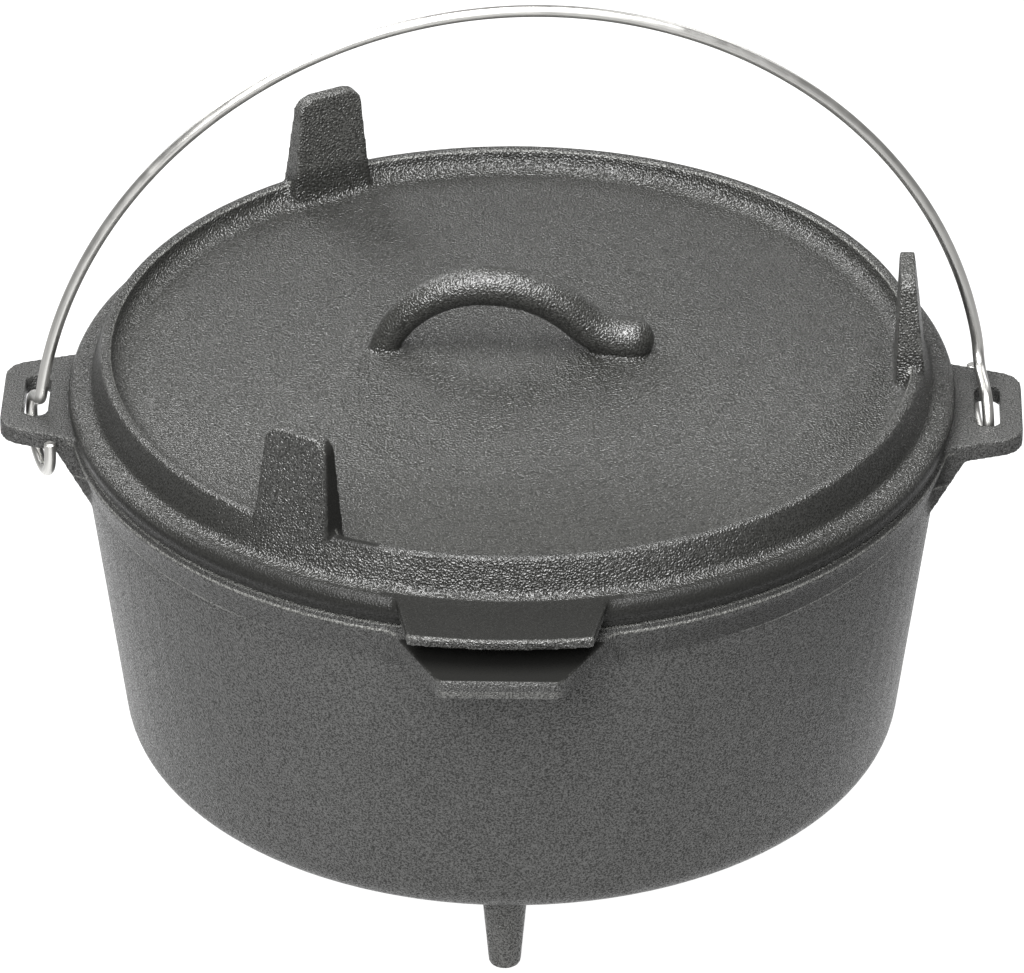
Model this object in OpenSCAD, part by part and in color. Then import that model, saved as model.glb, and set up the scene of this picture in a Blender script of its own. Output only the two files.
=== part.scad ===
// Camp dutch oven: a cast-iron pot on three legs, its cast lid with a raised
// rim for coals and three feet, and a wire bail that swings in the pot's ears.
// Millimetres, +Z up. The origin is on the pot's axis, on the ground.

/* [Pot] */
// Outer radius of the pot's rim and of the lid's flange
rim_r = 168; // [150:1:190]
// Height of the pot from its underside to its rim
pot_h = 137.5; // [110:0.5:180]
// Lean of the wall from upright, in degrees
wall_lean = 7.5; // [4:0.5:9]
// How far the rim stands out from the wall
rim_overhang = 2.8; // [1.5:0.1:4]
// Thickness of the wall
wall_t = 4.4; // [3.5:0.1:6]
// Thickness of the bottom
bottom_t = 4.8; // [4:0.1:8]
// Outer radius of the corner between wall and bottom
corner_r = 14; // [9:0.5:20]
// Width of the slope round the rim's top
rim_slope_w = 3.2; // [2:0.1:4]
// Drop of the slope round the rim's top
rim_slope_h = 2.6; // [1.5:0.1:4]
// Height of the flare that leads from the wall to the rim's outer edge
flare_h = 13.8; // [8:0.2:20]

/* [Legs] */
// Height of the legs
leg_h = 39.5; // [25:0.5:60]
// Diameter of a leg at the pot's bottom
leg_top_d = 18.8; // [15:0.2:24]
// Diameter of a leg at the ground
leg_end_d = 12.2; // [9:0.2:15]
// Radius of the round edge at a leg's end
leg_round = 2; // [1:0.1:3]
// Distance of a leg's centre from the wall, measured at the bottom
leg_inset = 29; // [24:0.5:45]

/* [Ears of the pot] */
// Reach of an ear past the rim
ear_reach = 25.4; // [23:0.1:32]
// Half width of an ear where it leaves the rim
ear_root_half = 31.2; // [30:0.2:32]
// Half width of an ear at its outer end, before its corners are rounded
ear_tip_half = 23; // [21:0.2:24]
// Corner radius of an ear
ear_corner_r = 11; // [6:0.5:12]
// Thickness of an ear
ear_t = 7; // [5.5:0.1:8]
// Drop of an ear's top below the rim
ear_drop = 0.2; // [0.2:0.1:3]
// Length of the slot in an ear
slot_l = 30.4; // [30:0.2:32]
// Width of the slot in an ear
slot_w = 9.4; // [9:0.1:10]
// Distance of the slot's middle from the rim
slot_out = 12.4; // [12.2:0.1:12.8]
// Start of the web under an ear, past the rim
web_out = 3.5; // [1:0.1:5]
// Slope of the web under an ear, in degrees
web_slope = 58; // [45:1:70]

/* [Front lug of the pot] */
// Reach of the lug past the rim
lug_reach = 29.5; // [20:0.5:35]
// Half width of the lug where it leaves the rim
lug_root_half = 38; // [30:0.5:45]
// Half width of the lug at its outer end, before its corners are rounded
lug_tip_half = 22.2; // [18:0.2:28]
// Corner radius of the lug
lug_corner_r = 6; // [3:0.5:9]
// Thickness of the lug
lug_t = 7.5; // [6:0.1:10]
// Drop of the lug's top below the rim
lug_drop = 2.2; // [1:0.1:8]
// Start of the web under the lug, past the rim
lug_web_out = -3.5; // [-4:0.5:10]

/* [Lid] */
// Thickness of the lid's flange
flange_t = 10.5; // [9:0.1:13]
// Radius of the flange's round upper edge
flange_round = 5; // [3:0.1:6]
// Width of the flange's flat top, from the foot of the coal rim outwards
flange_flat = 3.7; // [3.3:0.1:5]
// Height of the coal rim above the flange
coal_rim_h = 14; // [9:0.5:20]
// How far the coal rim's outer wall leans in from foot to crest
coal_rim_lean = 3.6; // [2:0.1:6]
// Radius of the hollow where the coal rim meets the flange
coal_foot_round = 4; // [2:0.1:4]
// Width of the coal rim's crest
crest_w = 4.4; // [3.2:0.1:7]
// Radius of the crest's round edges
crest_round = 1.4; // [0.8:0.1:1.5]
// Depth of the lid's tray below the crest, at its edge
tray_depth = 8; // [5:0.1:11]
// Width of the hollow bend between the coal rim and the tray
tray_bend = 7; // [4:0.5:10]
// Rise of the tray from its edge to its middle
tray_rise = 6.7; // [2:0.1:10]
// Thickness of the lid's plate
lid_t = 4.8; // [4:0.1:7]
// Depth of the skirt that keeps the lid in the pot
skirt_h = 7; // [4:0.5:12]
// Thickness of the skirt
skirt_t = 4.5; // [4:0.1:6]
// Gap between the skirt and the pot's wall
skirt_gap = 1.5; // [0.8:0.1:3]

/* [Feet of the lid] */
// Height of a foot above the crest
foot_h = 37.1; // [25:0.1:50]
// Half width of a foot at the crest
foot_base_half = 16; // [14:0.1:20]
// Half width of a foot at its top, before its corners are rounded
foot_top_half = 12.9; // [10:0.1:13.5]
// Corner radius at a foot's top
foot_corner_r = 6.5; // [3:0.5:9]
// Thickness of a foot at its top
foot_top_t = 5.2; // [4:0.1:8]
// Lean of a foot's outer face, from the crest to the top
foot_lean = 4.5; // [2:0.1:7]
// Lean of a foot's inner face, from the crest to the top
foot_inner_lean = 1; // [0:0.1:3]

/* [Handle of the lid] */
// How far the handle's highest point lies left of the middle
handle_left = 9.2; // [0:0.2:14]
// Rise of the bar's middle above the tray, at its highest point
handle_rise = 26.8; // [25:0.1:36]
// Bend of the handle on its left side
handle_left_r = 42; // [39:1:50]
// Bend of the handle on its right side
handle_right_r = 50; // [42:1:58]
// Slope of the handle where it turns out into its toe, in degrees
toe_slope = 45; // [35:1:50]
// Height of the toe's middle above the tray
toe_rise = 5; // [3.5:0.1:6]
// Diameter of the bar at its left end
handle_end_d = 10.8; // [8:0.1:12]
// Diameter of the bar at its highest point
handle_d = 15.4; // [12:0.1:17]
// Diameter of the toe
toe_d = 17; // [14:0.1:18]

/* [Front lip of the lid] */
// Reach of the lip past the flange
lip_reach = 22; // [14:0.5:26]
// Half width of the lip at the flange
lip_root_half = 37.3; // [36:0.1:45]
// Half width of the lip at its front edge
lip_tip_half = 33.2; // [26:0.1:36]
// Thickness of the lip
lip_t = 3.6; // [2.5:0.1:5]

/* [Bail] */
// Diameter of the wire
wire_d = 4.5; // [3.8:0.1:4.9]
// Height of the arch above the line that the bail swings about
bail_h = 173; // [165:1:195]
// Distance of each eye from the rim
eye_out = 8.8; // [8.7:0.1:9.2]
// Radius of the eyes, at the middle of the wire
eye_r = 13; // [12.6:0.1:13.6]
// Radius of the bend from a leg into its eye
bend_r = 7; // [5:0.5:7]
// Straight length along the top of the left eye
left_run = 7; // [7:0.5:10]
// Straight length along the top of the right eye
right_run = 19; // [12:0.5:19.5]
// Turn of the left eye out of square, in degrees
left_turn = 5; // [2:0.5:6]
// How far an eye goes on past its lowest point, in degrees
eye_close = 108; // [95:1:120]
// Drop of the swing line below the middle of the ears
swing_drop = 2.5; // [1.5:0.1:3]

/* [Hidden] */
$fn = 96;
iron = "#45464a";
wire = "#b8b9b6";

// Heights above the ground
base_z = leg_h;
rim_z = base_z + pot_h;
ear_top_z = rim_z - ear_drop;
lug_top_z = rim_z - lug_drop;
flange_z = rim_z + flange_t;
crest_z = flange_z + coal_rim_h;
tray_z = crest_z - tray_depth;
swing_z = ear_top_z - ear_t / 2 - swing_drop;

// Radii of the pot and the lid
wall_top_r = rim_r - rim_overhang;
function wall_r(z) = wall_top_r - (rim_z - z) * tan(wall_lean);
wall_across = wall_t / cos(wall_lean);
mouth_r = wall_top_r - wall_across;
flare_z = rim_z - rim_slope_h - flare_h;
rim_top_r = rim_r - rim_slope_w;
leg_r = wall_r(base_z) - leg_inset;
coal_foot_r = rim_r - flange_round - flange_flat;
crest_r = coal_foot_r - coal_rim_lean;
crest_in_r = crest_r - crest_w;
tray_r = crest_in_r - tray_bend;
skirt_r = mouth_r - skirt_gap;
// Draft of the skirt, so that it follows the pot's leaning wall
skirt_draft = skirt_h * tan(wall_lean);
// Height of the tray's upper side at a radius
function tray_at(r) = tray_z + tray_rise * (1 - pow(r / tray_r, 2));

// The bail's plane is turned so that its left eye holds the front bridge of
// the left ear, and its right eye the back bridge of the right ear
slot_r = rim_r + slot_out;
eye_x = rim_r + eye_out;
ear_taper = (ear_root_half - ear_tip_half) / ear_reach;
bridge_outer = ear_root_half - slot_out * ear_taper;
bridge_y = (slot_l / 2 + bridge_outer) / 2;
bail_turn = atan(bridge_y / eye_x);
eye_s = eye_x / cos(bail_turn);
neck_h = eye_r + bend_r;
// The arch is a round bow from neck to neck
arch_rise = bail_h - neck_h;
arch_r = (eye_s * eye_s + arch_rise * arch_rise) / (2 * arch_rise);
arch_z = bail_h - arch_r;
// A knuckle, a little thicker than the wire, joins the bow to each neck
knuckle_d = 1.06 * wire_d;
knuckle_in = wire_d / 9;
arch_from = asin((neck_h - arch_z) / arch_r) + asin(knuckle_in / arch_r);

foot_angles = [0, 120, 240];
leg_angles = [30, 150, 270];
// Overlap that lets one shape sink into the next, or a cut run past a face
sink = 1;
// How far the roots of ears, lug and webs go into the wall before it is bored
root_in = 16;

// Points on an arc, from one angle to another
function arc(centre, r, from, to, steps = 8) =
    [for (i = [0 : steps])
        let (a = from + (to - from) * i / steps)
        centre + r * [cos(a), sin(a)]];

// Outline that narrows along +X from a root to a tip with round corners
module tapered_outline(root_half, tip_half, length, r) {
    a = atan((root_half - tip_half) / length);
    corner_x = length - r;
    corner_y = root_half - corner_x * tan(a) - r / cos(a);
    side = [corner_x + r * sin(a), corner_y + r * cos(a)];
    polygon([
        [0, -root_half], [side.x, -side.y], [length, -corner_y],
        [length, corner_y], side, [0, root_half]
    ]);
    for (s = [-1, 1])
        translate([corner_x, s * corner_y])
            circle(r);
}

// Plate that stands out from the rim along +X, with a web below it
module bracket(root_half, tip_half, reach, r, t, top_z, web_start, slope) {
    taper = (root_half - tip_half) / reach;
    root = rim_r - root_in;
    web_deep = (root_in + web_start) * tan(slope);
    low = top_z - t - web_deep;
    intersection() {
        translate([root, 0, low])
            linear_extrude(top_z - low)
                tapered_outline(root_half + root_in * taper, tip_half, reach + root_in, r);
        rotate([90, 0, 0])
            linear_extrude(3 * root_half, center = true)
                polygon([
                    [root, top_z], [rim_r + reach + sink, top_z],
                    [rim_r + reach + sink, top_z - t],
                    [rim_r + web_start, top_z - t], [root, low]
                ]);
    }
}

module ear() {
    difference() {
        bracket(ear_root_half, ear_tip_half, ear_reach, ear_corner_r, ear_t,
            ear_top_z, web_out, web_slope);
        translate([slot_r, 0, ear_top_z - ear_t - sink])
            linear_extrude(ear_t + 2 * sink)
                slot_outline();
    }
}

module slot_outline() {
    straight = slot_l - slot_w;
    square([slot_w, straight], center = true);
    for (s = [-1, 1])
        translate([0, s * straight / 2])
            circle(d = slot_w);
}

module lug() {
    rotate([0, 0, -90])
        bracket(lug_root_half, lug_tip_half, lug_reach, lug_corner_r, lug_t,
            lug_top_z, lug_web_out, web_slope);
}

module leg() {
    top = base_z + bottom_t / 2;
    top_r = leg_top_d / 2;
    end_r = leg_end_d / 2;
    rotate_extrude()
        polygon(concat(
            [[0, 0]],
            arc([end_r - leg_round, leg_round], leg_round, -90, 0, 5),
            [[top_r, base_z], [top_r, top], [0, top]]
        ));
}

// Outside of the pot, solid up to its axis
module pot_outside() {
    corner_z = base_z + corner_r;
    corner_x = wall_r(corner_z) - corner_r / cos(wall_lean);
    rotate_extrude()
        polygon(concat(
            [[0, base_z]],
            arc([corner_x, corner_z], corner_r, -90, -wall_lean),
            [
                [wall_r(flare_z), flare_z], [rim_r, rim_z - rim_slope_h],
                [rim_top_r, rim_z], [0, rim_z]
            ]
        ));
}

// Inside of the pot, open at the top
module pot_inside() {
    floor_z = base_z + bottom_t;
    inner_r = corner_r - wall_t;
    corner_z = floor_z + inner_r;
    corner_x = wall_r(corner_z) - wall_across - inner_r / cos(wall_lean);
    over_z = rim_z + sink;
    rotate_extrude()
        polygon(concat(
            [[0, floor_z]],
            arc([corner_x, corner_z], inner_r, -90, -wall_lean),
            [[wall_r(over_z) - wall_across, over_z], [0, over_z]]
        ));
}

module pot() {
    color(iron)
        difference() {
            union() {
                pot_outside();
                ear();
                rotate([0, 0, 180])
                    ear();
                lug();
                for (a = leg_angles)
                    rotate([0, 0, a])
                        translate([leg_r, 0, 0])
                            leg();
            }
            pot_inside();
        }
}

// Section of the lid from its middle out to the flange, and back along its underside
module lid_plate() {
    tray_steps = 8;
    tray = [for (i = [0 : tray_steps])
        let (r = tray_r * i / tray_steps)
        [r, tray_at(r)]];
    bend_h = tray_depth - crest_round;
    bend = [for (a = [15 : 15 : 90])
        [tray_r + tray_bend * sin(a), tray_z + bend_h * (1 - cos(a))]];
    crest_mid = crest_z - crest_round;
    crest = concat(
        arc([crest_in_r + crest_round, crest_mid], crest_round, 165, 90, 4),
        arc([crest_r - crest_round, crest_mid], crest_round, 90, 20, 4)
    );
    slope = atan(coal_rim_lean / coal_rim_h);
    hollow = [
        coal_foot_r + coal_foot_round * tan((90 - slope) / 2),
        flange_z + coal_foot_round
    ];
    flange = concat(
        arc(hollow, coal_foot_round, 180 + slope, 270, 5),
        arc([rim_r - flange_round, flange_z - flange_round], flange_round, 90, -40),
        [[rim_top_r, rim_z]]
    );
    skirt_in = skirt_r - skirt_draft - skirt_t;
    skirt = [
        [skirt_r, rim_z], [skirt_r - skirt_draft, rim_z - skirt_h],
        [skirt_in, rim_z - skirt_h], [skirt_in, tray_z - lid_t - tray_bend],
        [tray_r, tray_z - lid_t]
    ];
    under = [for (i = [tray_steps - 1 : -1 : 0]) tray[i] - [0, lid_t]];
    rotate_extrude()
        polygon(concat(tray, bend, crest, flange, skirt, under));
}

// Foot on the coal rim, for standing the lid upside down
module lid_foot() {
    low = tray_z - lid_t / 2;
    top = crest_z + foot_h;
    taper = (foot_base_half - foot_top_half) / foot_h;
    outer_top = crest_r - foot_lean;
    inner_top = outer_top - foot_top_t;
    inner_slope = foot_inner_lean / foot_h;
    inner_low = inner_top - (top - low) * inner_slope;
    intersection() {
        translate([0, 0, low])
            rotate([0, -90, 0])
                linear_extrude(4 * crest_r, center = true)
                    tapered_outline(foot_base_half + (crest_z - low) * taper,
                        foot_top_half, top - low, foot_corner_r);
        rotate([90, 0, 0])
            linear_extrude(4 * foot_base_half, center = true)
                polygon([
                    [inner_low, low], [crest_r, low], [crest_r, crest_z - crest_round],
                    [outer_top, top + sink], [inner_top, top + sink]
                ]);
    }
}

// One step along the handle's bar: place, direction and radius, from its left end to its toe
function handle_steps() =
    let (
        top = tray_at(0) + handle_rise,
        left_end = tray_at(handle_left_r) - lid_t / 2,
        left_sweep = acos(1 - (top - left_end) / handle_left_r),
        right_drop = handle_right_r * (1 - cos(toe_slope)),
        toe_z = tray_at(handle_right_r) + toe_rise,
        toe_r = (top - right_drop - toe_z) / (1 - cos(toe_slope)),
        turn_x = handle_right_r * sin(toe_slope) - handle_left,
        toe_x = turn_x + toe_r * sin(toe_slope),
        mid = handle_d / 2,
        thin = handle_end_d / 2,
        thick = toe_d / 2
    )
    concat(
        [for (f = [0 : 0.1 : 1])
            let (a = left_sweep * (1 - f))
            [-handle_left - handle_left_r * sin(a), top - handle_left_r * (1 - cos(a)), a,
                thin + (mid - thin) * f]],
        [for (f = [0.2 : 0.2 : 1])
            let (a = toe_slope * f)
            [handle_right_r * sin(a) - handle_left, top - handle_right_r * (1 - cos(a)), -a, mid]],
        [for (f = [0.2 : 0.2 : 1])
            let (a = toe_slope * (1 - f))
            [toe_x - toe_r * sin(a), toe_z + toe_r * (1 - cos(a)), -a, mid + (thick - mid) * f]],
        [for (a = [20 : 20 : 80])
            [toe_x + thick * sin(a), toe_z, 0, thick * cos(a)]]
    );

// Arched bar over the tray, thin at its left end and with a toe at its right end
module lid_handle() {
    steps = handle_steps();
    sides = 24;
    rings = len(steps);
    points = [for (p = steps, k = [0 : sides - 1])
        let (a = 360 * k / sides)
        [p[0] - p[3] * sin(a) * sin(p[2]), p[3] * cos(a), p[1] + p[3] * sin(a) * cos(p[2])]];
    skin = [for (i = [0 : rings - 2], k = [0 : sides - 1], half = [0, 1])
        let (
            here = i * sides,
            next = here + sides,
            k2 = (k + 1) % sides
        )
        half == 0 ? [here + k, next + k2, here + k2] : [here + k, next + k, next + k2]];
    left_cap = [for (k = [0 : sides - 1]) k];
    toe_cap = [for (k = [sides - 1 : -1 : 0]) (rings - 1) * sides + k];
    polyhedron(points, concat([left_cap, toe_cap], skin));
}

module lid_lip() {
    taper = (lip_root_half - lip_tip_half) / lip_reach;
    root = coal_foot_r;
    past_root = rim_r - root;
    intersection() {
        translate([0, 0, flange_z - lip_t])
            cylinder(r = rim_r + lip_reach, h = lip_t);
        rotate([0, 0, -90])
            translate([root, 0, flange_z - lip_t])
                linear_extrude(lip_t)
                    polygon([
                        [0, -lip_root_half - past_root * taper],
                        [past_root + lip_reach, -lip_tip_half],
                        [past_root + lip_reach, lip_tip_half],
                        [0, lip_root_half + past_root * taper]
                    ]);
    }
}

module lid() {
    color(iron) {
        lid_plate();
        for (a = foot_angles)
            rotate([0, 0, a])
                lid_foot();
        lid_handle();
        lid_lip();
    }
}

// Round wire bent in the YZ plane, about a centre, from one angle to another
module wire_bend(centre, r, from, to) {
    translate([0, centre.x, centre.y])
        rotate([90, 0, 90])
            rotate([0, 0, from])
                rotate_extrude(angle = to - from)
                    translate([r, 0])
                        circle(d = wire_d, $fn = 32);
}

module wire_run(z, length) {
    translate([0, -length, z])
        rotate([-90, 0, 0])
            cylinder(d = wire_d, h = length, $fn = 32);
}

// Eye at a leg's end: a bend to the front, a loop down and back, and an open tip
module eye(run) {
    wire_bend([-bend_r, neck_h], bend_r, -90, 0);
    if (run > bend_r)
        translate([0, -bend_r, 0])
            wire_run(eye_r, run - bend_r);
    wire_bend([-run, 0], eye_r, 90, 270);
    wire_run(-eye_r, run);
    wire_bend([0, 0], eye_r, -90, eye_close - 90);
}

module bail() {
    color(wire)
        translate([0, 0, swing_z])
            rotate([0, 0, bail_turn]) {
                translate([0, 0, arch_z])
                    rotate([90, 0, 0])
                        rotate([0, 0, arch_from])
                            rotate_extrude(angle = 180 - 2 * arch_from, $fn = 180)
                                translate([arch_r, 0])
                                    circle(d = wire_d, $fn = 32);
                for (s = [0, 1])
                    rotate([0, 0, 180 * s])
                        translate([eye_s, 0, 0]) {
                            translate([0, 0, neck_h])
                                sphere(d = knuckle_d, $fn = 32);
                            rotate([0, 0, s * left_turn])
                                eye(s == 0 ? right_run : left_run);
                        }
            }
}

pot();
lid();
bail();
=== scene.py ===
"""Looks of a camp dutch oven: a cast-iron pot and lid, and a bright wire bail."""

import math

import bmesh
import bpy
import numpy as np
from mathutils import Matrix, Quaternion, Vector


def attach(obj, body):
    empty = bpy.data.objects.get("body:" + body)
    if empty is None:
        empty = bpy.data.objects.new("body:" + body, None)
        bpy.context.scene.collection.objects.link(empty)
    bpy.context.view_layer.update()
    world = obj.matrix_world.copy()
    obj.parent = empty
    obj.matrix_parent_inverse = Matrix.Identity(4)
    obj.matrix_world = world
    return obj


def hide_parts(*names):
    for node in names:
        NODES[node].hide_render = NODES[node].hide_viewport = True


MM = 0.001

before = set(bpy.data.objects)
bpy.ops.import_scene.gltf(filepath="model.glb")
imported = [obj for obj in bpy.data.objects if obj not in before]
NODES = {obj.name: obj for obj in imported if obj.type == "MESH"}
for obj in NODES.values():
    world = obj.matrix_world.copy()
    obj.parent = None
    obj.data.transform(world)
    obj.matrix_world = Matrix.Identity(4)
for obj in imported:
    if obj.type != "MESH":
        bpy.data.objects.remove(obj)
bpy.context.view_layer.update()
SCENE = bpy.context.scene


# Camera
VIEW_AZIMUTH = math.radians(1.3)
VIEW_ELEVATION = math.radians(31.09)
VIEW_DISTANCE = 3486.16 * MM
VIEW_TARGET = Vector((0.06, 0, 138.63)) * MM
VIEW_END = 50
FOCAL_PIXELS = 9139.25
IMAGE_WIDTH = 1024
SENSOR = 36.0


def place_camera():
    back = Vector((math.sin(VIEW_AZIMUTH) * math.cos(VIEW_ELEVATION),
                   -math.cos(VIEW_AZIMUTH) * math.cos(VIEW_ELEVATION),
                   math.sin(VIEW_ELEVATION)))
    lens = bpy.data.cameras.new("camera")
    lens.sensor_fit = "HORIZONTAL"
    lens.sensor_width = SENSOR
    lens.lens = FOCAL_PIXELS * SENSOR / IMAGE_WIDTH
    lens.clip_end = VIEW_END
    camera = bpy.data.objects.new("camera", lens)
    camera.location = VIEW_TARGET + VIEW_DISTANCE * back
    camera.rotation_euler = back.to_track_quat("Z", "Y").to_euler()
    SCENE.collection.objects.link(camera)
    SCENE.camera = camera


# Sizes of the oven that the scene repeats from the solids, in millimetres
BASE_Z = 39.5
LEG_R = 118.1
LEG_ANGLES = (30, 150, 270)
FLARE_Z = 160.6
RIM_R = 168
RIM_TOP_R = 164.8
RIM_Z = 177
LUG_R = 197.5
LUG_TOP_Z = 174.8
LUG_HALF = 45
FLANGE_EDGE_Z = 179.3
FLANGE_Z = 187.5
LIP_R = 190
LIP_HALF = 45
CREST_R = 155.7
CREST_IN_R = 151
CREST_Z = 201.5
FOOT_ANGLES = (0, 120, 240)
HANDLE_LEFT = -62
HANDLE_RIGHT = 64
HANDLE_HALF = 12
ABOVE_ALL = 400

# The half of the oven with lip and lug, as a bound: axis, low, high and soft edge
FRONT = ("y", -230, 0, 1.0)


# Zones of the castings
def ramp(value, low, high):
    """0 below low, 1 above high, and a straight rise between them."""
    return np.clip((value - low) / (high - low), 0, 1)


def band(value, low, high, edge):
    """1 from low to high, and a straight fall to 0 over the edge on either side."""
    return ramp(value, low - edge, low) * (1 - ramp(value, high, high + edge))


def zone(bounds, angles=(0,)):
    """A function that gives each place its share, from 0 to 1, in a zone repeated at some angles.
    A bound is an axis, low, high and soft edge; r is out from the oven's middle, and leg out from a leg's."""
    def share(p):
        total = np.zeros(len(p))
        for angle in angles:
            a = math.radians(angle)
            x = p[:, 0] * math.cos(a) + p[:, 1] * math.sin(a)
            y = p[:, 1] * math.cos(a) - p[:, 0] * math.sin(a)
            axes = {"x": x, "y": y, "z": p[:, 2], "r": np.hypot(x, y), "leg": np.hypot(x - LEG_R, y)}
            part = np.ones(len(p))
            for axis, low, high, edge in bounds:
                part *= band(axes[axis], low, high, edge)
            total += part
        return total
    return share


EVERYWHERE = zone([])
EAR_ROOTS = zone([("y", -38, 38, 3), ("r", RIM_R - 8, RIM_R + 3, 2), ("z", RIM_Z - 42, ABOVE_ALL, 5)])
LUG_ROOT = zone([FRONT, ("x", -46, 46, 3), ("r", RIM_R - 8, RIM_R + 6, 3), ("z", RIM_Z - 27, ABOVE_ALL, 5)])
LEG_ROOTS = zone([("leg", 0, 16, 4), ("z", BASE_Z - 9.5, BASE_Z + 1, 1)], LEG_ANGLES)
LIP_ROOT = zone([FRONT, ("x", -43, 43, 2), ("r", RIM_R - 4, RIM_R + 4, 3), ("z", RIM_Z + 6, ABOVE_ALL, 3)])
FOOT_ROOTS = zone([("x", RIM_R - 29, RIM_R - 10, 3), ("y", -22, 22, 3),
                   ("z", FLANGE_Z + 4.5, FLANGE_Z + 22.5, 3)], FOOT_ANGLES)
HANDLE_BAR = zone([("x", HANDLE_LEFT, HANDLE_RIGHT, 2), ("y", -HANDLE_HALF, HANDLE_HALF, 2),
                   ("z", CREST_Z + 2.5, ABOVE_ALL, 3)])


# Castings
POT_GRID = 0.95 * MM
LID_GRID = 0.8 * MM
CASTING_FACES = 110000
WELD = 1e-6
SEAM_REACH = 1.9
SEAM_SLACK = 0.6
SEAM_EDGE = 1.2
EVEN = False
FILL = True
PULL_IN = 0.5
PUSH_OUT = -0.52


def points_of(mesh, kind="co"):
    flat = np.empty(len(mesh.vertices) * 3)
    mesh.vertices.foreach_get(kind, flat)
    return flat.reshape(-1, 3)


def set_points(mesh, points):
    mesh.vertices.foreach_set("co", points.ravel())
    mesh.update()


def soften(mesh, share_of, rounds, fill):
    """Evens out the skin of a zone without shrinking it, or only fills its hollow corners, as fillets do."""
    points = points_of(mesh)
    ends = np.empty(len(mesh.edges) * 2, np.int64)
    mesh.edges.foreach_get("vertices", ends)
    ends = ends.reshape(-1, 2)
    share = share_of(points / MM)
    ends = ends[(share[ends] > 0).any(1)]
    used, ends = np.unique(ends, return_inverse=True)
    one, other = ends.reshape(-1, 2).T
    count = len(used)
    share = share[used][:, None]
    outward = points_of(mesh, "normal")[used]
    links = np.bincount(one, minlength=count) + np.bincount(other, minlength=count)
    part = points[used]
    for i in range(rounds if fill else 2 * rounds):
        near = np.stack([np.bincount(one, part[other, k], count) + np.bincount(other, part[one, k], count)
                         for k in range(3)], 1)
        pull = near / links[:, None] - part
        if fill:
            pull[(pull * outward).sum(1) < 0] = 0
        part = part + share * pull * (PULL_IN if fill or i % 2 == 0 else PUSH_OUT)
    points[used] = np.where(share > 0, part, points[used])
    set_points(mesh, points)


def closed_seam(p):
    """The flange's lower edge brought out over the pot's rim, so that the seam is a line, not a groove."""
    r = np.hypot(p[:, 0], p[:, 1])
    low = (p[:, 2] > RIM_Z - SEAM_SLACK) * (1 - ramp(p[:, 2], RIM_Z, FLANGE_EDGE_Z))
    outside = ramp(r, RIM_TOP_R - SEAM_EDGE, RIM_TOP_R)
    reach = 1 + SEAM_REACH * low * outside / np.maximum(r, 1)
    return p * np.stack([reach, reach, np.ones(len(p))], 1)


def baked(piece):
    """The piece's mesh with its modifiers applied."""
    bpy.context.view_layer.update()
    result = piece.evaluated_get(bpy.context.evaluated_depsgraph_get())
    return bpy.data.meshes.new_from_object(result)


def casting(name, node, grid, press, steps):
    """A node's solid as one casting: a fused skin, pressed if asked, with worn edges and filled corners."""
    blank = NODES[node].data.copy()
    shell = bmesh.new()
    shell.from_mesh(blank)
    bmesh.ops.remove_doubles(shell, verts=shell.verts, dist=WELD)
    shell.to_mesh(blank)
    shell.free()
    piece = bpy.data.objects.new(name, blank)
    SCENE.collection.objects.link(piece)
    skin = piece.modifiers.new("skin", "REMESH")
    skin.mode = "VOXEL"
    skin.voxel_size = grid
    mesh = baked(piece)
    piece.modifiers.clear()
    if press:
        set_points(mesh, press(points_of(mesh) / MM) * MM)
    for share_of, rounds, fill in steps:
        soften(mesh, share_of, rounds, fill)
    piece.data = mesh
    thin = piece.modifiers.new("thin", "DECIMATE")
    thin.ratio = min(1.0, CASTING_FACES / (2 * len(mesh.polygons)))
    thin.use_collapse_triangulate = True
    piece.data = baked(piece)
    piece.modifiers.clear()
    piece.data.name = name
    piece.data.shade_smooth()
    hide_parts(node)
    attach(piece, node)
    return piece


# Bail, in millimetres
WIRE_D = 4.5
SWING_Z = 170.8
BAIL_TURN = math.radians(6.837)
BAIL_H = 173
BOW_STEPS = 120
EYE_S = 178.07
EYE_R = 13
BEND_R = 7
LEFT_RUN = 7
RIGHT_RUN = 19
LEFT_TURN = math.radians(9.5)
EYE_END = 18
NECK_STEPS = 10
LOOP_STEPS = 24
TIP_STEPS = 16
WIRE_SIDES = 20
WIRE_STEP = 1.6
EASE = 0.5
EASE_ROUNDS = 10
CHAMFER = 0.5
TIP_SIZE = 0.75
SHARP_EDGE = math.radians(40)
UPRIGHT = (0, 0, 1)


def bend(centre, r, start, stop, steps):
    """Points of a bend in the plane of an eye: to the back, and up."""
    turns = [math.radians(start + (stop - start) * i / steps) for i in range(steps + 1)]
    return [(centre[0] + r * math.cos(turn), centre[1] + r * math.sin(turn)) for turn in turns]


def eye_route(run):
    """An eye from its neck to its open tip, as places to the back and up."""
    route = bend((-BEND_R, EYE_R + BEND_R), BEND_R, 0, -90, NECK_STEPS)
    route += [(-run * f, EYE_R) for f in (0.6, 0.8)] if run > BEND_R else []
    route += bend((-run, 0), EYE_R, 90, 270, LOOP_STEPS)
    route += [(-run * f, -EYE_R) for f in (0.66, 0.33)]
    route += bend((0, 0), EYE_R, -90, EYE_END, TIP_STEPS)
    return route


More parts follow.
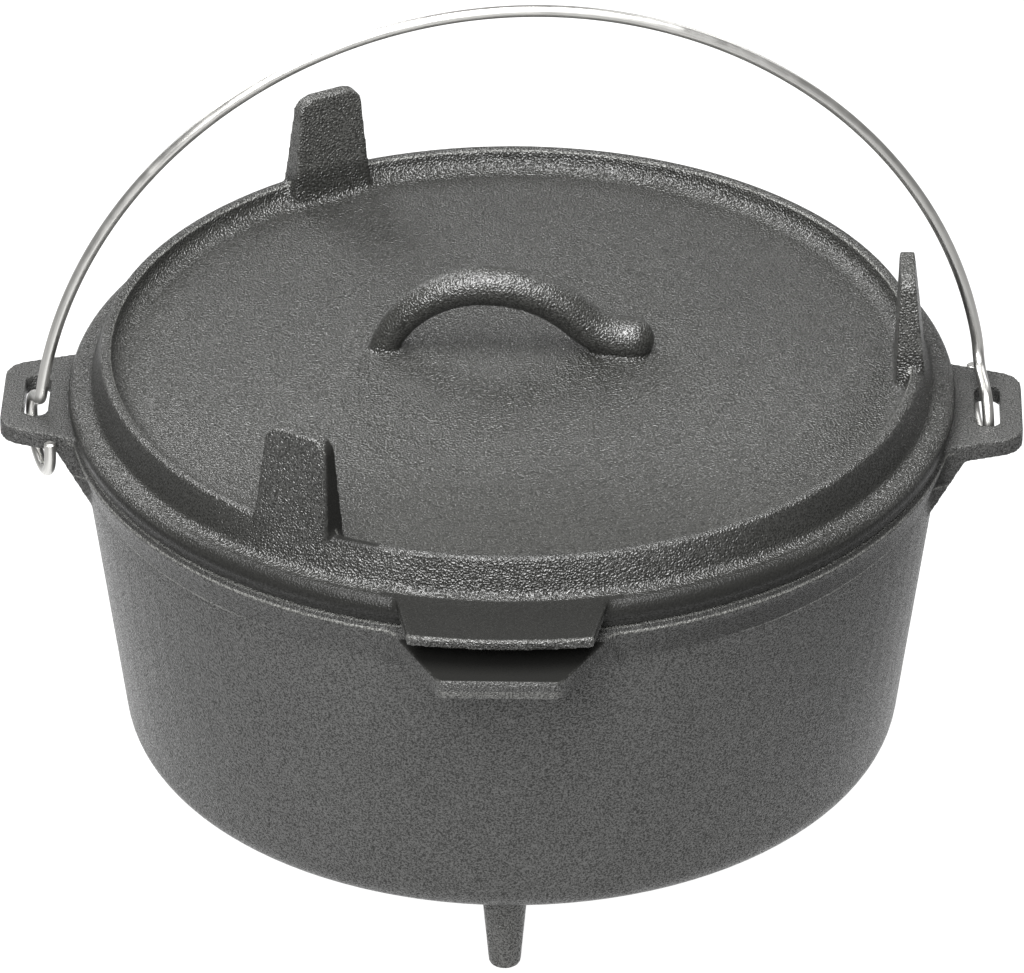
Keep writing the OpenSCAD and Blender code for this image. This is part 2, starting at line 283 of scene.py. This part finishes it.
def bail_route():
    """The wire's middle from the left eye's tip over the bow to the right eye's tip."""
    neck_h = EYE_R + BEND_R
    rise = BAIL_H - neck_h
    bow_r = (EYE_S ** 2 + rise ** 2) / (2 * rise)
    bow_z = BAIL_H - bow_r
    start = math.asin((neck_h - bow_z) / bow_r)
    bow = []
    for i in range(1, BOW_STEPS):
        a = math.pi - start - (math.pi - 2 * start) * i / BOW_STEPS
        bow.append(Vector((bow_r * math.cos(a), 0, bow_z + bow_r * math.sin(a))))
    turned = Quaternion(UPRIGHT, LEFT_TURN)
    left = [turned @ Vector((0, -y, z)) + Vector((-EYE_S, 0, 0)) for y, z in eye_route(LEFT_RUN)]
    right = [Vector((EYE_S, y, z)) for y, z in eye_route(RIGHT_RUN)]
    whole = Quaternion(UPRIGHT, BAIL_TURN)
    return [(whole @ p + Vector((0, 0, SWING_Z))) * MM for p in left[::-1] + bow + right]


def even_route(route):
    """The route at even steps, its kinks eased as a bending tool leaves them."""
    points = np.array(route)
    run = np.concatenate([[0], np.cumsum(np.linalg.norm(np.diff(points, axis=0), axis=1))])
    stops = np.linspace(0, run[-1], int(run[-1] / (WIRE_STEP * MM)))
    even = np.stack([np.interp(stops, run, points[:, k]) for k in range(3)], 1)
    for _ in range(EASE_ROUNDS):
        even[1:-1] += EASE * ((even[:-2] + even[2:]) / 2 - even[1:-1])
    return [Vector(p) for p in even]


def bail_wire():
    """The wire swept along its route, with chamfered ends."""
    route = even_route(bail_route())
    wire = bmesh.new()
    side = Vector(UPRIGHT).cross(route[1] - route[0]).normalized()
    turns = [math.tau * k / WIRE_SIDES for k in range(WIRE_SIDES)]
    last = len(route) - 1
    ends = {0: [(-1, TIP_SIZE), (0, 1)], last: [(0, 1), (1, TIP_SIZE)]}
    rings = []
    for i, place in enumerate(route):
        along = (route[min(i + 1, last)] - route[max(i - 1, 0)]).normalized()
        side = (side - along * side.dot(along)).normalized()
        up = along.cross(side)
        for shift, size in ends.get(i, [(0, 1)]):
            middle = place + along * CHAMFER * MM * shift
            out = WIRE_D / 2 * MM * size
            rings.append([wire.verts.new(middle + out * (side * math.cos(turn) + up * math.sin(turn)))
                          for turn in turns])
    for near, far in zip(rings, rings[1:]):
        for k in range(WIRE_SIDES):
            n = (k + 1) % WIRE_SIDES
            wire.faces.new((near[k], near[n], far[n], far[k]))
    wire.faces.new(rings[0][::-1])
    wire.faces.new(rings[-1])
    bmesh.ops.recalc_face_normals(wire, faces=wire.faces)
    mesh = bpy.data.meshes.new("bail_wire")
    wire.to_mesh(mesh)
    wire.free()
    # Where each point would lie on the straight wire, for the lines along it
    lay = mesh.attributes.new("lay", "FLOAT_VECTOR", "POINT")
    for i, point in enumerate(lay.data):
        ring, k = divmod(i, WIRE_SIDES)
        across = Vector((math.cos(turns[k]), math.sin(turns[k]), 0)) * WIRE_D / 2
        point.vector = (across + Vector((0, 0, WIRE_STEP * ring))) * MM
    mesh.shade_smooth()
    mesh.set_sharp_from_angle(angle=SHARP_EDGE)
    piece = bpy.data.objects.new("bail_wire", mesh)
    SCENE.collection.objects.link(piece)
    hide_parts("bail")
    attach(piece, "bail")
    return piece


# Materials
def linear(hex_colour):
    """An sRGB hex colour as linear RGBA."""
    channels = [int(hex_colour[i:i + 2], 16) / 255 for i in (1, 3, 5)]
    return [c / 12.92 if c <= 0.04045 else ((c + 0.055) / 1.055) ** 2.4 for c in channels] + [1.0]


def add(tree, kind, settings, inputs):
    """Adds a node with its settings, and sets or links its inputs by name or number."""
    node = tree.nodes.new(kind)
    for name, value in settings.items():
        setattr(node, name, value)
    for name, value in inputs.items():
        if isinstance(value, bpy.types.NodeSocket):
            tree.links.new(value, node.inputs[name])
        else:
            node.inputs[name].default_value = value
    return node


def start_material(name):
    material = bpy.data.materials.new(name)
    material.use_nodes = True
    material.node_tree.nodes.clear()
    return material, material.node_tree


def close_material(tree, shader):
    add(tree, "ShaderNodeOutputMaterial", {}, {"Surface": shader.outputs["BSDF"]})


def between(tree, value, low, high, edge):
    """1 where a place, in millimetres, lies between low and high, with soft edges."""
    rise = add(tree, "ShaderNodeMapRange", {"interpolation_type": "SMOOTHSTEP"},
               {"Value": value, "From Min": (low - edge) * MM, "From Max": (low + edge) * MM})
    fall = add(tree, "ShaderNodeMapRange", {"interpolation_type": "SMOOTHSTEP"},
               {"Value": value, "From Min": (high - edge) * MM, "From Max": (high + edge) * MM,
                "To Min": 1.0, "To Max": 0.0})
    inside = add(tree, "ShaderNodeMath", {"operation": "MULTIPLY"},
                 {0: rise.outputs["Result"], 1: fall.outputs["Result"]})
    return inside.outputs[0]


def joined(tree, operation, values):
    """Several masks multiplied, or the largest of them."""
    result = values[0]
    for value in values[1:]:
        result = add(tree, "ShaderNodeMath", {"operation": operation}, {0: result, 1: value}).outputs[0]
    return result


def on_faces(tree, faces, axes):
    """The strength given to any of some faces, each with the bounds that it lies between."""
    masks = []
    for strength, bounds in faces:
        parts = [between(tree, axes[axis], low, high, edge) for axis, low, high, edge in bounds]
        masks.append(joined(tree, "MULTIPLY", [strength] + parts))
    return joined(tree, "MAXIMUM", masks)


# Iron, with sizes in millimetres
POT_COLOURS = ("#353534", "#3e3e3d")
LID_COLOURS = ("#1f1f1d", "#272725")
PAINTED_SHADE_TONE = "#1b1b1a"
WEAR_AND_HIGHLIGHT_TONE = "#6b6b68"
POT_GRAIN = 0.65
LID_GRAIN = 0.72
GRAIN_DEPTH = 1.2
FINE_CUT = 0.45
SMOOTH_CUT = 0.85
CLOUD_SIZE = 45
POT_GLOSS = (0.05, 0.4)
LID_GLOSS = (0.3, 1.0)
PAINTED_SHADE_GLOSS = 0.03


def cast_iron(name, colours, grain_size, gloss_range, smooth_shaded_faces, fine_faces, painted_light_faces):
    """Sand-cast iron, seasoned with baked oil: near black, with a grain of sand whose tops glint in the
    light.
    Shaded faces get painted shade and less grain, fine ones about half the grain, and painted-light faces
    painted light."""
    material, tree = start_material(name)
    place = add(tree, "ShaderNodeTexCoord", {}, {}).outputs["Object"]
    split = add(tree, "ShaderNodeSeparateXYZ", {}, {"Vector": place}).outputs
    flat = add(tree, "ShaderNodeCombineXYZ", {}, {"X": split["X"], "Y": split["Y"]})
    out = add(tree, "ShaderNodeVectorMath", {"operation": "LENGTH"}, {0: flat.outputs["Vector"]})
    axes = {"x": split["X"], "y": split["Y"], "z": split["Z"], "r": out.outputs["Value"]}
    smooth_shade = on_faces(tree, smooth_shaded_faces, axes)
    fine = on_faces(tree, fine_faces, axes)
    painted_light = on_faces(tree, painted_light_faces, axes)

    # Moulding sand of about 0.3 mm leaves this grain, which is drawn twice as coarse to show
    noise = add(tree, "ShaderNodeTexNoise", {},
                {"Vector": place, "Scale": 1 / (grain_size * MM), "Detail": 0.5, "Roughness": 0.5})
    sand = noise.outputs["Fac"]
    less = add(tree, "ShaderNodeMath", {"operation": "MULTIPLY_ADD"}, {0: fine, 1: -FINE_CUT, 2: 1.0})
    strength = add(tree, "ShaderNodeMath", {"operation": "MULTIPLY_ADD", "use_clamp": True},
                   {0: smooth_shade, 1: -SMOOTH_CUT, 2: less.outputs[0]})
    grain = add(tree, "ShaderNodeBump", {},
                {"Strength": strength.outputs[0], "Distance": GRAIN_DEPTH * grain_size * MM, "Height": sand})

    # The baked oil lies in wide clouds, thinner on the tops of the grain
    clouds = add(tree, "ShaderNodeTexNoise", {},
                 {"Vector": place, "Scale": 1 / (CLOUD_SIZE * MM), "Detail": 3.0})
    skin = add(tree, "ShaderNodeMix", {"data_type": "RGBA"},
               {"Factor": clouds.outputs["Fac"], "A": linear(colours[0]), "B": linear(colours[1])})
    worn = add(tree, "ShaderNodeMapRange", {},
               {"Value": sand, "From Min": 0.3, "From Max": 0.7, "To Min": 0.6, "To Max": 1.4})
    pitted = add(tree, "ShaderNodeVectorMath", {"operation": "SCALE"},
                 {0: skin.outputs["Result"], "Scale": worn.outputs["Result"]})
    # Shaded faces are darkened toward one dark tone: painted shade
    shaded = add(tree, "ShaderNodeMix", {"data_type": "RGBA"},
                {"Factor": smooth_shade, "A": pitted.outputs["Vector"], "B": linear(PAINTED_SHADE_TONE)})

    # Convex edges are lightened as wear and painted highlights; painted-light faces get painted light, on the
    # grain's tops first
    edges = add(tree, "ShaderNodeNewGeometry", {}, {}).outputs["Pointiness"]
    edge_wear_and_highlight = add(tree, "ShaderNodeMapRange", {},
                 {"Value": edges, "From Min": 0.54, "From Max": 0.62, "To Min": 0.0, "To Max": 0.6})
    tops = add(tree, "ShaderNodeMapRange", {},
               {"Value": sand, "From Min": 0.42, "From Max": 0.6, "To Min": 0.3, "To Max": 1.0})
    dotted = add(tree, "ShaderNodeMath", {"operation": "MULTIPLY"}, {0: painted_light, 1: tops.outputs["Result"]})
    wear_and_highlight = add(tree, "ShaderNodeMath", {"operation": "MAXIMUM"},
               {0: edge_wear_and_highlight.outputs["Result"], 1: dotted.outputs[0]})
    tone = add(tree, "ShaderNodeMix", {"data_type": "RGBA"},
               {"Factor": wear_and_highlight.outputs[0], "A": shaded.outputs["Result"], "B": linear(WEAR_AND_HIGHLIGHT_TONE)})

    # The tops of the grain shine more than its hollows
    shine = add(tree, "ShaderNodeMapRange", {},
                {"Value": sand, "From Min": 0.3, "From Max": 0.7, "To Min": 0.4, "To Max": 0.26})
    gloss = add(tree, "ShaderNodeMapRange", {},
                {"Value": sand, "From Min": 0.35, "From Max": 0.65,
                 "To Min": gloss_range[0], "To Max": gloss_range[1]})
    # Painted shade also takes away most of the shine on those faces
    calm = add(tree, "ShaderNodeMix", {"data_type": "FLOAT"},
               {"Factor": smooth_shade, "A": gloss.outputs["Result"], "B": PAINTED_SHADE_GLOSS})
    shader = add(tree, "ShaderNodeBsdfPrincipled", {},
                 {"Base Color": tone.outputs["Result"], "Roughness": shine.outputs["Result"],
                  "Specular IOR Level": calm.outputs["Result"], "Normal": grain.outputs["Normal"]})
    close_material(tree, shader)
    return material


# Steel, with sizes in millimetres
SCORED_STEEL = "#b3b2ae"
BRIGHT_STEEL = "#dcdbd8"
SCORE_W = 0.7
SCORE_DEPTH = 0.25
SCORE_STRETCH = 0.03
WEAR_SIZE = 6


def drawn_steel():
    """Bright steel wire, drawn through a die: a satin metal with a light streak and fine lines along it."""
    material, tree = start_material("drawn_steel")
    lay = add(tree, "ShaderNodeAttribute", {"attribute_name": "lay"}, {}).outputs["Vector"]
    # The lines that a die scores are finer than 0.1 mm, and they are drawn at 0.7 mm to show
    long = add(tree, "ShaderNodeVectorMath", {"operation": "MULTIPLY"},
               {0: lay, 1: (1.0, 1.0, SCORE_STRETCH)})
    lines = add(tree, "ShaderNodeTexNoise", {},
                {"Vector": long.outputs["Vector"], "Scale": 1 / (SCORE_W * MM), "Detail": 1.0})
    scored = add(tree, "ShaderNodeBump", {},
                 {"Strength": 0.3, "Distance": SCORE_DEPTH * MM, "Height": lines.outputs["Fac"]})
    wear = add(tree, "ShaderNodeTexNoise", {}, {"Vector": lay, "Scale": 1 / (WEAR_SIZE * MM), "Detail": 4.0})
    shine = add(tree, "ShaderNodeMapRange", {},
                {"Value": wear.outputs["Fac"], "From Min": 0.3, "From Max": 0.7,
                 "To Min": 0.28, "To Max": 0.4})
    tone = add(tree, "ShaderNodeMix", {"data_type": "RGBA"},
               {"Factor": lines.outputs["Fac"], "A": linear(SCORED_STEEL), "B": linear(BRIGHT_STEEL)})
    shader = add(tree, "ShaderNodeBsdfPrincipled", {},
                 {"Base Color": tone.outputs["Result"], "Metallic": 1.0, "Roughness": shine.outputs["Result"],
                  "Normal": scored.outputs["Normal"]})
    close_material(tree, shader)
    return material


def dress(piece, material):
    piece.data.materials.clear()
    piece.data.materials.append(material)


# Faces of the castings, each as its strength and the bounds that it lies between:
# axis, or r for out from the middle, then low, high and soft edge in millimetres
# The legs are lightened with a painted reflection of the bright floor
LEGS = (0.35, [("z", -5, BASE_Z - 3.5, 2.0)])
POT_WALL = (1.0, [("z", BASE_Z - 3.5, FLARE_Z - 2.6, 2.0)])
# A painted highlight along the crease where the flare starts, at the left and right
CREASE = ("z", FLARE_Z - 0.4, FLARE_Z + 0.4, 0.15)
LEFT_CREASE = (1.0, [("x", -180, -95, 20), CREASE])
RIGHT_CREASE = (1.0, [("x", 95, 180, 20), CREASE])
# Painted shade on the flare's right side
RIGHT_FLARE = (0.7, [("r", RIM_R - 8, RIM_R - 0.8, 1.0), ("x", 60, 180, 40),
                     ("z", FLARE_Z + 0.4, RIM_Z - 3.2, 0.4)])
# Painted highlight along the rim's lower outer edge
RIM_LOW_LINE = (0.9, [("r", RIM_R - 0.7, RIM_R + 2, 0.2), ("z", RIM_Z - 3.1, RIM_Z - 2.2, 0.15)])
# Painted shade on the rim's slope, under the flange's edge
RIM_SLOPE = (0.5, [("r", RIM_R - 1.8, RIM_R - 0.7, 0.3), ("z", RIM_Z - 2.2, RIM_Z - 1, 0.2)])
# Painted highlight along the top of the rim's slope
RIM_TOP_LINE = (0.8, [("r", RIM_R - 4, RIM_R - 1.8, 0.3), ("z", RIM_Z - 1.3, RIM_Z + 1, 0.2)])
# Painted shade on the lug's top, under the lip
LUG_TOP = (1.0, [("y", 1 - LUG_R, -RIM_R - 0.5, 0.5), ("x", -LUG_HALF, LUG_HALF, 1.0),
                 ("z", LUG_TOP_Z - 0.5, LUG_TOP_Z + 3.2, 0.3)])
# A painted reflection of the bright floor on the lower strip of the lug's front face
LUG_STRIP = (0.35, [("y", -LUG_R - 12.5, 1.1 - LUG_R, 0.3), ("z", LUG_TOP_Z - 7.5, LUG_TOP_Z - 3.8, 0.3)])

# Painted shade on the flange's lower roll, all around
FLANGE_EDGE = (0.85, [("r", RIM_R - 4.5, RIM_R + 4, 1.0), ("z", RIM_Z - 0.5, RIM_Z + 7.5, 0.8)])
# Painted shade on the flange's roll at the front
FLANGE_FRONT = (0.85, [("r", RIM_R - 5.2, RIM_R + 4, 0.6), ("y", -200, -110, 35),
                       ("z", FLANGE_Z - 7.5, FLANGE_Z + 0.5, 1.5)])
# Painted shade on the lip's top, which also has less grain
LIP_TOP = (0.85, [("r", RIM_R - 6, LIP_R - 1.6, 0.6), FRONT, ("x", -LIP_HALF, LIP_HALF, 1.0),
                  ("z", FLANGE_Z - 1, FLANGE_Z + 2.5, 0.5)])
# Painted highlight along the lip's front edge
LIP_EDGE = (0.25, [("r", LIP_R - 1.2, LIP_R + 1, 0.3), FRONT, ("z", FLANGE_Z - 0.6, FLANGE_Z + 1.5, 0.2)])
# Painted shade on the coal rim's outer slope at the left and right
SLOPE = [("r", CREST_R - 0.2, RIM_R - 5.5, 1.0), ("z", FLANGE_Z + 1, CREST_Z - 1, 1.0)]
LEFT_SLOPE = (0.55, SLOPE + [("x", -175, -95, 35)])
RIGHT_SLOPE = (0.6, SLOPE + [("x", 95, 175, 35)])
# Painted highlight along the crest's inner edge
CREST_EDGE = (0.8, [("r", CREST_IN_R - 0.6, CREST_IN_R + 0.9, 0.3), ("z", CREST_Z - 0.9, CREST_Z + 1.5, 0.3)])
TRAY_FRONT = (1.4, [("r", 0, CREST_IN_R - 3, 1.0), ("y", -200, -80, 50),
                    ("z", FLANGE_Z + 2.5, CREST_Z + 1.5, 1.0)])
HANDLE = (1.0, [("x", HANDLE_LEFT, HANDLE_RIGHT, 1.0), ("y", -HANDLE_HALF, HANDLE_HALF, 1.0),
                ("z", CREST_Z + 0.5, 240, 1.0)])
FOOT_HEIGHT = ("z", CREST_Z + 5.5, 260, 3.0)
# Painted light on the back foot and the right foot
BACK_FOOT = (0.25, [("y", 90, 160, 3.0), FOOT_HEIGHT])
RIGHT_FOOT = (0.2, [("x", 130, 165, 3.0), FOOT_HEIGHT])
# Painted shade on the side of the front foot
FRONT_FOOT_SIDE = (0.9, [("x", -65, -45, 1.2), ("y", -160, -115, 3.0), ("z", CREST_Z - 1.5, 250, 2.0)])


# Studio, in metres and watts
FLOOR_REACH = 6.0
POOL_MIDDLE = (-0.05, 0.15, 0)
POOL_HALF = (0.29, 1.3, 1)
POOL_GLOW = 1.05
FLOOR_GLOW = 0.35
WALL_GLOW = 0.25
WHITE = (1, 1, 1, 1)
SHADED_PAPER = "#5a5a5a"
LIGHT_AIM = (0, 0, 0.15)
# Name, place, size and power of each soft light
LIGHTS = [("key", (-0.1, -0.4, 1.6), 1.4, 76),
          ("fill", (-0.5, -1.7, 1.4), 0.8, 48),
          ("front_card", (0.5, -2.3, 1.1), 2.0, 11),
          ("back_left", (-1.1, 1.6, 1.2), 1.0, 19),
          ("back_right", (0.9, 1.8, 1.2), 0.9, 8)]


def shown_white(tree, glow_to_oven):
    """White to the eye, while only the given glow lights the oven."""
    seen = add(tree, "ShaderNodeLightPath", {}, {}).outputs["Is Camera Ray"]
    glow = add(tree, "ShaderNodeMix", {"data_type": "FLOAT"}, {"Factor": seen, "A": glow_to_oven, "B": 1.0})
    return glow.outputs["Result"]


def white_paper():
    """White paper: plain and bright to the eye, glowing with a soft-edged painted pool of light under the
    oven.
    """
    paper, tree = start_material("white_paper_painted_pool")
    place = add(tree, "ShaderNodeTexCoord", {}, {}).outputs["Object"]
    pool = add(tree, "ShaderNodeMapping", {"vector_type": "TEXTURE"},
               {"Vector": place, "Location": POOL_MIDDLE, "Scale": POOL_HALF})
    away = add(tree, "ShaderNodeVectorMath", {"operation": "LENGTH"}, {0: pool.outputs["Vector"]})
    # Painted pool of light: the paper glows brighter under the oven and dimmer away from it
    glow_to_oven = add(tree, "ShaderNodeMapRange", {"interpolation_type": "SMOOTHSTEP"},
                 {"Value": away.outputs["Value"], "From Min": 0.8, "From Max": 1.1,
                  "To Min": POOL_GLOW, "To Max": FLOOR_GLOW})
    shader = add(tree, "ShaderNodeBsdfPrincipled", {},
                 {"Base Color": linear(SHADED_PAPER), "Roughness": 0.9, "Emission Color": WHITE,
                  "Emission Strength": shown_white(tree, glow_to_oven.outputs["Result"])})
    close_material(tree, shader)
    return paper


def studio():
    """A white floor and white surroundings, lit by soft lights that stay out of sight."""
    corners = [(x * FLOOR_REACH, y * FLOOR_REACH, 0) for x, y in ((-1, -1), (1, -1), (1, 1), (-1, 1))]
    mesh = bpy.data.meshes.new("floor")
    mesh.from_pydata(corners, [], [(0, 1, 2, 3)])
    mesh.materials.append(white_paper())
    floor = bpy.data.objects.new("floor", mesh)
    SCENE.collection.objects.link(floor)
    world = bpy.data.worlds.new("studio")
    world.use_nodes = True
    tree = world.node_tree
    tree.nodes.clear()
    walls = add(tree, "ShaderNodeBackground", {}, {"Color": WHITE, "Strength": shown_white(tree, WALL_GLOW)})
    add(tree, "ShaderNodeOutputWorld", {}, {"Surface": walls.outputs["Background"]})
    SCENE.world = world
    SCENE.view_settings.view_transform = "Standard"
    for name, place, size, power in LIGHTS:
        light = bpy.data.lights.new(name, "AREA")
        light.shape = "SQUARE"
        light.size = size
        light.energy = power
        lamp = bpy.data.objects.new(name, light)
        lamp.location = place
        lamp.rotation_euler = (Vector(place) - Vector(LIGHT_AIM)).to_track_quat("Z", "Y").to_euler()
        lamp.visible_camera = False
        SCENE.collection.objects.link(lamp)


place_camera()
pot = casting("cast_pot", "pot", POT_GRID, None,
              [(EVERYWHERE, 4, EVEN), (EAR_ROOTS, 16, FILL), (LUG_ROOT, 12, FILL), (LEG_ROOTS, 20, FILL)])
lid = casting("cast_lid", "lid", LID_GRID, closed_seam,
              [(EVERYWHERE, 4, EVEN), (HANDLE_BAR, 12, EVEN), (FOOT_ROOTS, 40, FILL), (LIP_ROOT, 12, FILL)])
bail = bail_wire()

pot_iron = cast_iron("cast_iron_pot", POT_COLOURS, POT_GRAIN, POT_GLOSS,
                     smooth_shaded_faces=[LUG_TOP, RIM_SLOPE, RIGHT_FLARE],
                     fine_faces=[POT_WALL],
                     painted_light_faces=[LUG_STRIP, RIM_TOP_LINE, RIM_LOW_LINE, LEFT_CREASE, RIGHT_CREASE, LEGS])
lid_iron = cast_iron("cast_iron_lid", LID_COLOURS, LID_GRAIN, LID_GLOSS,
                     smooth_shaded_faces=[LIP_TOP, FLANGE_EDGE, FLANGE_FRONT, LEFT_SLOPE, RIGHT_SLOPE,
                                   FRONT_FOOT_SIDE],
                     fine_faces=[HANDLE, TRAY_FRONT],
                     painted_light_faces=[CREST_EDGE, LIP_EDGE, BACK_FOOT, RIGHT_FOOT])
dress(pot, pot_iron)
dress(lid, lid_iron)
dress(bail, drawn_steel())
studio()
